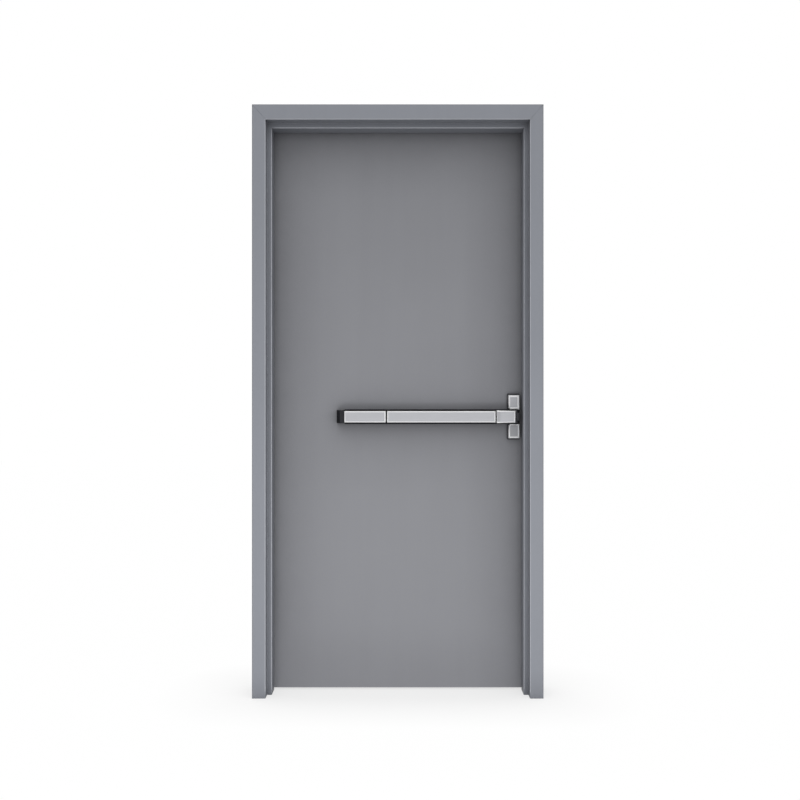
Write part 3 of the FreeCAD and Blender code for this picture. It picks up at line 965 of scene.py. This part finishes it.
def makeGussets():
    look = gussetSet
    half, edge, radius = look["half"], look["fromEdge"], look["screwRadius"]
    rabbetX = -jambLow.x        # the jamb's face lies evenly about x = 0
    outX, inX = jambLow.x + edge, rabbetX - edge
    topZ, headZ = cadHigh.z - edge, cadHigh.z - look["headFace"] + edge
    outline = [(inX, headZ), (inX, headZ + half), (outX + half, topZ),
               (outX, topZ), (outX, topZ - half), (inX - half, headZ)]
    bm = bmesh.new()
    for mirrored in (False, True):
        points = [(2 * doorMiddleX - x, z) for x, z in outline] if mirrored else outline
        (lowX, lowZ), (highX, highZ) = points[0], points[3]
        for faceY, inward in ((pushFaceY, 1), (pullFaceY, -1)):
            nearY = faceY + inward * look["behindFace"]
            backY = nearY + inward * look["sheet"]
            screwY = backY + inward * look["screwProud"]
            addPlate(bm, points, nearY, backY)
            for share in look["screwShares"]:
                spot = (lowX + (highX - lowX) * share, screwY, lowZ + (highZ - lowZ) * share)
                place = facing(spot, (0, inward, 0), look["spinRate"] * share)
                addScrew(bm, place, radius, look["screwDepth"], radius)
    addPiece("mitreGussets", finishMesh(bm, "mitreGussets"), "door_frame", "frame_paint")


makeGussets()
print("mitre gussets made")


# floor, lights and background
white = asColour(1, 1, 1)
stageSet = {
    "floorHalf": 14.0,
    "floorColour": asColour(0.45, 0.45, 0.447),
    "floorRoughness": 0.9,
    "floorGloss": 0.1,
    "floorSeen": asColour(0.86, 0.86, 0.855),
    "pale": (0.66, 0.985),  # share of plain white that the eye sees on the floor, by the door and away from it
    "paleReach": 0.35,
    "throatShade": 0.9,     # how much of that whiteness the floor inside the hollow jambs loses
    "throatBlend": 0.002,
    "outsideBlend": 0.0005,
    # soft lights in the world: the way to each one's middle, and its strength
    "worldLights": [
        ((0.0, -0.5, 0.866), 1.07),     # overhead in front
        ((0.707, -0.707, 0.0), 0.65),   # in front, from the strike side
        ((-0.707, -0.707, 0.0), 0.20),  # in front, from the hinge side
        ((0.0, 0.5, 0.866), 0.70),      # three weaker ones behind the door
        ((0.0, 0.966, 0.259), 0.55),
        ((-0.707, 0.707, 0.0), 0.55),
    ],
    "lobePower": 2.0,
    "stripWatts": 6.7,
    "stripSize": (2.4, 0.4),
    "stripAside": 0.11,
    "stripAway": 1.42,
    "stripHeight": 0.3,
    "stripTilt": 0.1,
}


def seenRays(tree):
    path = addNode(tree, "ShaderNodeLightPath").outputs
    seen = addMath(tree, "MAXIMUM", path["Is Camera Ray"], path["Is Glossy Ray"])
    return addMath(tree, "MAXIMUM", seen, path["Is Transmission Ray"])


def mixShaders(tree, factor, first, second):
    sockets = {0: factor, 1: first.outputs[0], 2: second.outputs[0]}
    return addNode(tree, "ShaderNodeMixShader", sockets)


# how much of plain white the eye sees: most away from the frame's foot, least inside the hollow jambs
def floorPaleness(tree):
    look = stageSet
    blend = look["throatBlend"]
    aside = addVector(tree, "ABSOLUTE", addVector(tree, "SUBTRACT", objectPlace(tree), (doorMiddleX, 0.0, 0.0)))
    foot = ((strikeHigh.x - jambLow.x) / 2, pullFaceY, 0.0)
    beside = addVector(tree, "MAXIMUM", addVector(tree, "SUBTRACT", aside, foot))
    away = addVector(tree, "LENGTH", beside, output="Value")
    pale = addRange(tree, away, 0.0, look["paleReach"], *look["pale"])
    across, deep, _ = splitAxes(tree, aside)
    soffitAside, rabbetAside = doorMiddleX - jambHigh.x, doorMiddleX + jambLow.x
    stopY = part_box("hinge_jamb_floor_clip")[1].y
    inStop = multiply(tree, addRange(tree, across, soffitAside, soffitAside + blend),
                      addRange(tree, deep, stopY, stopY + blend, 1.0, 0.0))
    hollow = addMath(tree, "MAXIMUM", addRange(tree, across, rabbetAside, rabbetAside + blend), inStop)
    inside = addRange(tree, away, 0.0, look["outsideBlend"], look["throatShade"], 0.0)
    return multiply(tree, pale, oneLess(tree, multiply(tree, hollow, inside)))


def makeFloor():
    look = stageSet
    half = look["floorHalf"]
    mesh = bpy.data.meshes.new("studioFloor")
    corners = [(-half, -half, 0), (half, -half, 0), (half, half, 0), (-half, half, 0)]
    mesh.from_pydata(corners, [], [(0, 1, 2, 3)])
    floor = bpy.data.objects.new("studioFloor", mesh)
    scene.collection.objects.link(floor)
    material, tree, shader = newFinish("studioFloor")
    shader.inputs["Base Color"].default_value = look["floorColour"]
    shader.inputs["Roughness"].default_value = look["floorRoughness"]
    shader.inputs["Specular IOR Level"].default_value = look["floorGloss"]
    plain = addNode(tree, "ShaderNodeEmission", {"Color": white, "Strength": 1.0})
    shaded = addNode(tree, "ShaderNodeBsdfDiffuse", {"Color": look["floorSeen"]})
    seen = mixShaders(tree, floorPaleness(tree), shaded, plain)
    mixed = mixShaders(tree, seenRays(tree), shader, seen)
    tree.links.new(mixed.outputs[0], tree.nodes["Material Output"].inputs["Surface"])
    floor.data.materials.append(material)


def makeWorld():
    look = stageSet
    world = bpy.data.worlds.new("studio")
    scene.world = world
    world.use_nodes = True
    tree = world.node_tree
    lit = tree.nodes["Background"]
    way = addNode(tree, "ShaderNodeTexCoord").outputs["Generated"]
    total = 0.0
    for middle, strength in look["worldLights"]:
        towards = addVector(tree, "DOT_PRODUCT", way, middle, "Value")
        lobe = addMath(tree, "POWER", addMath(tree, "MAXIMUM", towards, 0.0), look["lobePower"])
        total = addMath(tree, "ADD", multiply(tree, lobe, strength), total)
    lit.inputs["Color"].default_value = white
    tree.links.new(total, lit.inputs["Strength"])
    plain = addNode(tree, "ShaderNodeBackground", {"Color": white, "Strength": 1.0})
    mixed = mixShaders(tree, seenRays(tree), lit, plain)
    tree.links.new(mixed.outputs[0], tree.nodes["World Output"].inputs["Surface"])


# a low soft strip in front, for the light that a pale room throws back at knee height
def makeStrip():
    look = stageSet
    data = bpy.data.lights.new("lowStrip", "AREA")
    data.shape = "RECTANGLE"
    data.size, data.size_y = look["stripSize"]
    data.energy = look["stripWatts"]
    lamp = bpy.data.objects.new("lowStrip", data)
    lamp.location = (doorMiddleX + look["stripAside"], pushFaceY - look["stripAway"], look["stripHeight"])
    aim = Vector((0, 1, look["stripTilt"]))
    lamp.rotation_euler = aim.to_track_quat("-Z", "Y").to_euler()
    lamp.visible_camera = False
    scene.collection.objects.link(lamp)


makeFloor()
makeWorld()
makeStrip()
print("stage set")
